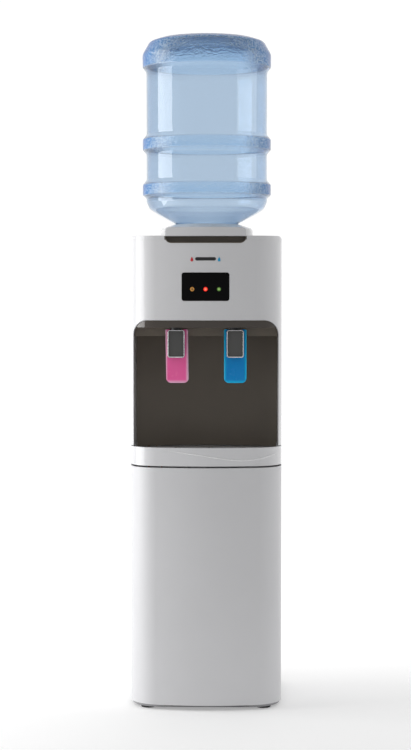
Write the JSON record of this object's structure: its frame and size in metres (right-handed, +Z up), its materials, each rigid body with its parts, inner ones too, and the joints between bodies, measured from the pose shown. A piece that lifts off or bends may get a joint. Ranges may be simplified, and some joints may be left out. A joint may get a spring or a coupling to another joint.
{
  "type": "water dispenser",
  "caption": "Floor-standing hot and cold water dispenser with an inverted bottle, push-back levers, a lift-out drip tray and a rear condenser.",
  "frame": {"origin": "centre of the footprint, on the floor under the feet", "axes": "+Z up, the front with the taps faces -Y, +X to the right of a person facing the front"},
  "size_m": [0.31, 0.33, 1.377],
  "materials": {
    "moulding": "gloss",
    "steel_white": "satin",
    "plinth_grey": "satin",
    "brown_plastic": "fine satin",
    "valance_gloss": "gloss",
    "window_black": "polished",
    "led_amber": "clear dome",
    "led_red": "clear dome",
    "led_green": "clear dome",
    "lever_pink": "satin",
    "lever_blue": "satin",
    "spout_grey": "satin",
    "chrome": "polished",
    "pin_steel": "turned",
    "tap_plastic": "satin",
    "bottle_blue": "clear, hammered bands",
    "cap_blue": "satin",
    "rubber": "matt",
    "stainless": "brushed",
    "copper": "drawn",
    "foam": "beaded",
    "hose_clear": "satin",
    "black_steel": "semi gloss",
    "black_plastic": "fine grain",
    "white_plastic": "satin",
    "board_green": "solder mask",
    "rocker_red": "gloss",
    "rocker_green": "gloss"
  },
  "bodies": {
    "cabinet": {"base_pan": "plinth_grey", "feet": "rubber", "side_panel_left": "steel_white", "side_panel_right": "steel_white", "back_panel": "steel_white", "panel_screws": "pin_steel", "lower_front_panel": "moulding", "tray_housing": "moulding", "upper_fascia": "moulding", "niche_liner": "brown_plastic", "valance": "valance_gloss", "grip_recess": "brown_plastic", "display_window": "window_black", "led_heat": "led_amber", "led_power": "led_red", "led_cool": "led_green", "indicator_board": "board_green", "lever_pins": "pin_steel", "hot_tap_body": "tap_plastic", "cold_tap_body": "tap_plastic", "tap_nuts": "tap_plastic", "hot_spring": "pin_steel", "cold_spring": "pin_steel", "hot_spout_cover": "spout_grey", "cold_spout_cover": "spout_grey", "hot_spout_bezel": "chrome", "cold_spout_bezel": "chrome", "seat_seal": "rubber", "cold_tank": "stainless", "evaporator_coil": "copper", "tank_insulation": "foam", "tank_bracket": "steel_white", "hot_tank": "stainless", "hot_tank_jacket": "foam", "heating_element": "stainless", "thermal_cutouts": "black_plastic", "cold_thermostat": "stainless", "water_hoses": "hose_clear", "drain_fitting": "white_plastic", "compressor": "black_steel", "compressor_mounts": "rubber", "start_relay": "black_plastic", "refrigerant_lines": "copper", "condenser": "black_steel", "condenser_brackets": "black_plastic", "switch_plate": "black_plastic", "cord_gland": "black_plastic"},
    "drip_tray": {"drip_tray": "moulding"},
    "drip_grille": {"drip_grille": "moulding"},
    "hot_lever": {"hot_lever": "lever_pink"},
    "cold_lever": {"cold_lever": "lever_blue"},
    "hot_valve": {"hot_valve": "rubber"},
    "cold_valve": {"cold_valve": "rubber"},
    "top_cover": {"top_cover": "moulding"},
    "bottle_seat": {"bottle_seat": "moulding"},
    "bottle": {"bottle": "bottle_blue", "bottle_cap": "cap_blue"},
    "drain_cap": {"drain_cap": "white_plastic"},
    "switch_heat": {"switch_heat": "rocker_red"},
    "switch_cool": {"switch_cool": "rocker_green"}
  },
  "joints": [
    {"name": "drip_tray_pull", "type": "slide", "parent": "cabinet", "child": "drip_tray", "axis": [0, -1, 0], "range_m": [0, 0.12]},
    {"name": "drip_grille_lift", "type": "slide", "parent": "drip_tray", "child": "drip_grille", "axis": [0, 0, 1], "range_m": [0, 0.06]},
    {"name": "hot_lever_press", "type": "hinge", "parent": "cabinet", "child": "hot_lever", "pos_m": [-0.06, -0.106, 0.764], "axis": [1, 0, 0], "range_deg": [0, 12], "stiffness_Nm_per_rad": 1.2, "springref_deg": -5.73},
    {"name": "cold_lever_press", "type": "hinge", "parent": "cabinet", "child": "cold_lever", "pos_m": [0.06, -0.106, 0.764], "axis": [1, 0, 0], "range_deg": [0, 12], "stiffness_Nm_per_rad": 1.2, "springref_deg": -5.73},
    {"name": "hot_valve_lift", "type": "slide", "parent": "cabinet", "child": "hot_valve", "axis": [0, 0, 1], "range_m": [0, 0.003], "deforming": ["hot_spring"]},
    {"name": "cold_valve_lift", "type": "slide", "parent": "cabinet", "child": "cold_valve", "axis": [0, 0, 1], "range_m": [0, 0.003], "deforming": ["cold_spring"]},
    {"name": "top_cover_lift", "type": "slide", "parent": "cabinet", "child": "top_cover", "axis": [0, 0, 1], "range_m": [0, 0.05]},
    {"name": "bottle_seat_lift", "type": "slide", "parent": "top_cover", "child": "bottle_seat", "axis": [0, 0, 1], "range_m": [0, 0.12]},
    {"name": "bottle_lift", "type": "slide", "parent": "bottle_seat", "child": "bottle", "axis": [0, 0, 1], "range_m": [0, 0.2]},
    {"name": "drain_cap_turn", "type": "hinge", "parent": "cabinet", "child": "drain_cap", "pos_m": [-0.09, 0.15, 0.282], "axis": [0, 1, 0], "range_deg": [0, 360]},
    {"name": "heat_switch_rock", "type": "hinge", "parent": "cabinet", "child": "switch_heat", "pos_m": [0.073, 0.133, 0.282], "axis": [1, 0, 0], "range_deg": [0, 14]},
    {"name": "cool_switch_rock", "type": "hinge", "parent": "cabinet", "child": "switch_cool", "pos_m": [0.097, 0.133, 0.282], "axis": [1, 0, 0], "range_deg": [0, 14]}
  ],
  "couplings": [
    {"joint": "hot_valve_lift", "follows": "hot_lever_press", "m_per_rad": 0.0143},
    {"joint": "cold_valve_lift", "follows": "cold_lever_press", "m_per_rad": 0.0143}
  ]
}
